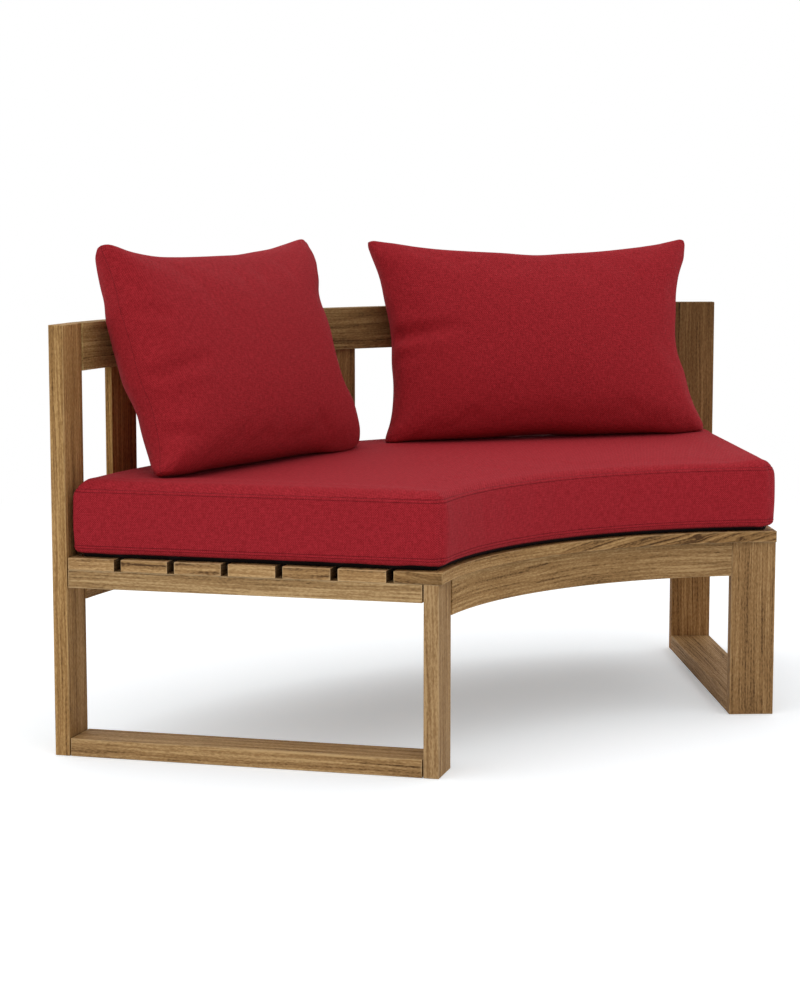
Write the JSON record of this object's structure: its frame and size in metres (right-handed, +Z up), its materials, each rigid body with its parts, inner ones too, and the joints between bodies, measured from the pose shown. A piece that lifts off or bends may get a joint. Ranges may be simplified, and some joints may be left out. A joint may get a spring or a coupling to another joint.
{
  "type": "curved garden bench with cushions",
  "caption": "Curved slatted hardwood bench segment with closed end frames, a low curved back, a boxed seat cushion and loose back pillows.",
  "frame": {"origin": "on the ground, under the centre of the frame's bounding box", "axes": "+X along the bench's chord to the sitter's left, +Y to the back, +Z up; the ring's centre lies on -Y"},
  "size_m": [1.4942, 0.762, 0.811],
  "materials": {
    "teak": "weathered oiled teak, open grain, lightly eased edges",
    "stainless_steel": "plain stainless countersunk screws",
    "seat_fabric": "matt woven outdoor canvas, deep red, twin-needle seams",
    "pillow_fabric": "matt woven outdoor canvas, deep red, knife-edge seams"
  },
  "bodies": {
    "frame": {"left_rear_post": "teak", "left_front_leg": "teak", "left_bottom_rail": "teak", "left_side_rail": "teak", "right_rear_post": "teak", "right_front_leg": "teak", "right_bottom_rail": "teak", "right_side_rail": "teak", "front_apron": "teak", "rear_apron": "teak", "back_rail": "teak", "seat_slat_1": "teak", "seat_slat_2": "teak", "seat_slat_3": "teak", "seat_slat_4": "teak", "seat_slat_5": "teak", "seat_slat_6": "teak", "seat_slat_7": "teak", "back_slat_1": "teak", "back_slat_2": "teak", "back_slat_3": "teak", "back_slat_4": "teak", "back_slat_5": "teak", "back_slat_6": "teak", "back_slat_7": "teak", "left_bearer": "teak", "right_bearer": "teak", "left_rail_screw_1": "stainless_steel", "left_rail_screw_2": "stainless_steel", "left_rail_screw_3": "stainless_steel", "left_rail_screw_4": "stainless_steel", "left_rail_screw_5": "stainless_steel", "left_rail_screw_6": "stainless_steel", "left_rail_screw_7": "stainless_steel", "left_bearer_screw_1": "stainless_steel", "left_bearer_screw_2": "stainless_steel", "left_bearer_screw_3": "stainless_steel", "left_bearer_screw_4": "stainless_steel", "left_bearer_screw_5": "stainless_steel", "left_bearer_screw_6": "stainless_steel", "left_bearer_screw_7": "stainless_steel", "right_rail_screw_1": "stainless_steel", "right_rail_screw_2": "stainless_steel", "right_rail_screw_3": "stainless_steel", "right_rail_screw_4": "stainless_steel", "right_rail_screw_5": "stainless_steel", "right_rail_screw_6": "stainless_steel", "right_rail_screw_7": "stainless_steel", "right_bearer_screw_1": "stainless_steel", "right_bearer_screw_2": "stainless_steel", "right_bearer_screw_3": "stainless_steel", "right_bearer_screw_4": "stainless_steel", "right_bearer_screw_5": "stainless_steel", "right_bearer_screw_6": "stainless_steel", "right_bearer_screw_7": "stainless_steel"},
    "seat_cushion": {"seat_cushion": "seat_fabric"},
    "left_pillow": {"left_pillow": "pillow_fabric"},
    "right_pillow": {"right_pillow": "pillow_fabric"}
  },
  "joints": [
    {"name": "seat_cushion_lift", "type": "slide", "parent": "frame", "child": "seat_cushion", "axis": [0, 0, 1], "range_m": [0, 0.3]},
    {"name": "left_pillow_lift", "type": "slide", "parent": "seat_cushion", "child": "left_pillow", "axis": [0, 0, 1], "range_m": [0, 0.3]},
    {"name": "right_pillow_lift", "type": "slide", "parent": "seat_cushion", "child": "right_pillow", "axis": [0, 0, 1], "range_m": [0, 0.3]}
  ]
}
